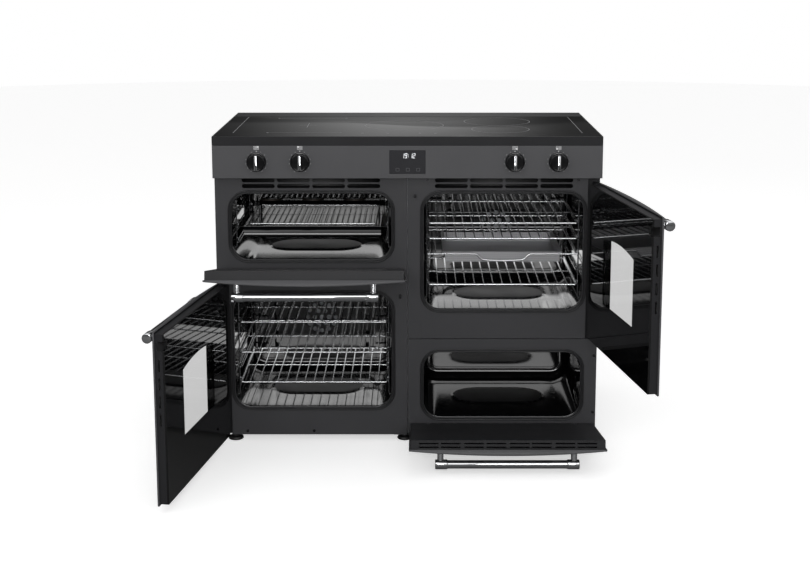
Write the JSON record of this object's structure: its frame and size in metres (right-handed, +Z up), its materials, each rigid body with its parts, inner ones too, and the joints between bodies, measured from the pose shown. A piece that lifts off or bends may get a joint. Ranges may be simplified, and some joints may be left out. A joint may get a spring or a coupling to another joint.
{
  "type": "range cooker",
  "caption": "Wide range cooker: an induction hob over side-by-side ovens behind drop-down and side-hung doors, with knobs, shelves, trays and levelling feet.",
  "frame": {"origin": "on the floor, at mid width, straight under the face of the control panel", "axes": "+X to the right as seen from the front, +Y to the back, +Z up"},
  "size_m": [1.3584, 1.1119, 0.905],
  "materials": {
    "panel_enamel": "semi-gloss anthracite enamel",
    "fascia_enamel": "semi-gloss anthracite enamel",
    "carcass_enamel": "black stove enamel",
    "oven_enamel": "glossy black vitreous enamel",
    "hob_steel": "anthracite enamelled steel",
    "hob_ceramic": "black ceramic glass",
    "clock_glass": "black glass over a digital display",
    "door_glass": "tinted clear glass",
    "lamp_glass": "frosted glass",
    "zinc": "zinc-coated sheet steel",
    "tray_steel": "perforated sheet steel",
    "chrome": "bright chrome",
    "element_steel": "dark steel heating tube",
    "knob_black": "black with a chrome pointer",
    "black_plastic": "matt black",
    "seal_rubber": "dark grey woven seal",
    "coil_winding": "wound copper in a plastic carrier"
  },
  "bodies": {
    "cabinet": {"base_pan": "carcass_enamel", "side_panel_left": "carcass_enamel", "side_panel_right": "carcass_enamel", "back_panel": "zinc", "centre_wall": "zinc", "fascia_left_upper": "fascia_enamel", "fascia_left_lower": "fascia_enamel", "fascia_right_upper": "fascia_enamel", "fascia_right_lower": "fascia_enamel", "control_panel": "panel_enamel", "clock_module": "clock_glass", "hob_frame": "hob_steel", "hob_glass": "hob_ceramic", "cavity_left_upper": "oven_enamel", "cavity_left_lower": "oven_enamel", "cavity_right_upper": "oven_enamel", "cavity_right_lower": "oven_enamel", "door_seals": "seal_rubber", "side_racks": "chrome", "heating_elements": "element_steel", "fan_baffles": "oven_enamel", "oven_lamps": "lamp_glass", "induction_coils": "coil_winding", "terminal_box": "black_plastic", "hinge_brackets": "carcass_enamel", "fascia_fixings": "chrome", "fan_motors": "zinc", "levelling_feet": "black_plastic"},
    "fan_left": {"fan_left": "zinc"},
    "fan_right": {"fan_right": "zinc"},
    "knob_1": {"knob_1": "knob_black"},
    "knob_2": {"knob_2": "knob_black"},
    "knob_3": {"knob_3": "knob_black"},
    "knob_4": {"knob_4": "knob_black"},
    "door_left_upper": {"door_left_upper_skin": "panel_enamel", "door_left_upper_liner": "fascia_enamel", "door_left_upper_arms": "zinc", "door_left_upper_handle": "chrome"},
    "door_right_lower": {"door_right_lower_skin": "panel_enamel", "door_right_lower_liner": "fascia_enamel", "door_right_lower_arms": "zinc", "door_right_lower_handle": "chrome"},
    "door_left_lower": {"door_left_lower_skin": "panel_enamel", "door_left_lower_liner": "fascia_enamel", "door_left_lower_glass": "door_glass", "door_left_lower_handle": "chrome"},
    "door_right_upper": {"door_right_upper_skin": "panel_enamel", "door_right_upper_liner": "fascia_enamel", "door_right_upper_glass": "door_glass", "door_right_upper_handle": "chrome"},
    "shelf_left_1": {"shelf_left_1": "chrome"},
    "shelf_left_2": {"shelf_left_2": "chrome"},
    "shelf_left_3": {"shelf_left_3": "chrome"},
    "shelf_right_1": {"shelf_right_1": "chrome"},
    "shelf_right_2": {"shelf_right_2": "chrome"},
    "shelf_right_3": {"shelf_right_3": "chrome"},
    "tray": {"tray_frame": "chrome", "tray": "tray_steel"},
    "grill_pan": {"grill_pan": "oven_enamel", "grill_trivet": "chrome"}
  },
  "joints": [
    {"name": "fan_left_spin", "type": "hinge", "parent": "cabinet", "child": "fan_left", "pos_m": [-0.2745, 0.435, 0.2745], "axis": [0, 1, 0], "continuous": true},
    {"name": "fan_right_spin", "type": "hinge", "parent": "cabinet", "child": "fan_right", "pos_m": [0.2745, 0.435, 0.5675], "axis": [0, 1, 0], "continuous": true},
    {"name": "knob_1_turn", "type": "hinge", "parent": "cabinet", "child": "knob_1", "pos_m": [-0.425, -0.01, 0.833], "axis": [0, 1, 0], "range_deg": [0, 270]},
    {"name": "knob_2_turn", "type": "hinge", "parent": "cabinet", "child": "knob_2", "pos_m": [-0.3025, -0.01, 0.833], "axis": [0, 1, 0], "range_deg": [0, 270]},
    {"name": "knob_3_turn", "type": "hinge", "parent": "cabinet", "child": "knob_3", "pos_m": [0.3025, -0.01, 0.833], "axis": [0, 1, 0], "range_deg": [0, 270]},
    {"name": "knob_4_turn", "type": "hinge", "parent": "cabinet", "child": "knob_4", "pos_m": [0.425, -0.01, 0.833], "axis": [0, 1, 0], "range_deg": [0, 270]},
    {"name": "door_left_upper_hinge", "type": "hinge", "parent": "cabinet", "child": "door_left_upper", "pos_m": [-0.2745, 0, 0.499], "axis": [1, 0, 0], "range_deg": [-78.5, 0]},
    {"name": "door_right_lower_hinge", "type": "hinge", "parent": "cabinet", "child": "door_right_lower", "pos_m": [0.2745, 0, 0.036], "axis": [1, 0, 0], "range_deg": [-80.5, 0]},
    {"name": "door_left_lower_hinge", "type": "hinge", "parent": "cabinet", "child": "door_left_lower", "pos_m": [-0.535, 0.01, 0.2485], "axis": [0, 0, -1], "range_deg": [-99.5, 0]},
    {"name": "door_right_upper_hinge", "type": "hinge", "parent": "cabinet", "child": "door_right_upper", "pos_m": [0.535, 0.01, 0.5415], "axis": [0, 0, 1], "range_deg": [-99.5, 0]},
    {"name": "shelf_left_1_slide", "type": "slide", "parent": "cabinet", "child": "shelf_left_1", "axis": [0, -1, 0], "range_m": [0, 0.24]},
    {"name": "shelf_left_2_slide", "type": "slide", "parent": "cabinet", "child": "shelf_left_2", "axis": [0, -1, 0], "range_m": [0, 0.24]},
    {"name": "shelf_left_3_slide", "type": "slide", "parent": "cabinet", "child": "shelf_left_3", "axis": [0, -1, 0], "range_m": [0, 0.24]},
    {"name": "shelf_right_1_slide", "type": "slide", "parent": "cabinet", "child": "shelf_right_1", "axis": [0, -1, 0], "range_m": [0, 0.24]},
    {"name": "shelf_right_2_slide", "type": "slide", "parent": "cabinet", "child": "shelf_right_2", "axis": [0, -1, 0], "range_m": [0, 0.24]},
    {"name": "shelf_right_3_slide", "type": "slide", "parent": "cabinet", "child": "shelf_right_3", "axis": [0, -1, 0], "range_m": [0, 0.24]},
    {"name": "tray_slide", "type": "slide", "parent": "cabinet", "child": "tray", "axis": [0, -1, 0], "range_m": [0, 0.24]},
    {"name": "grill_pan_slide", "type": "slide", "parent": "cabinet", "child": "grill_pan", "axis": [0, -1, 0], "range_m": [0, 0.24]}
  ]
}
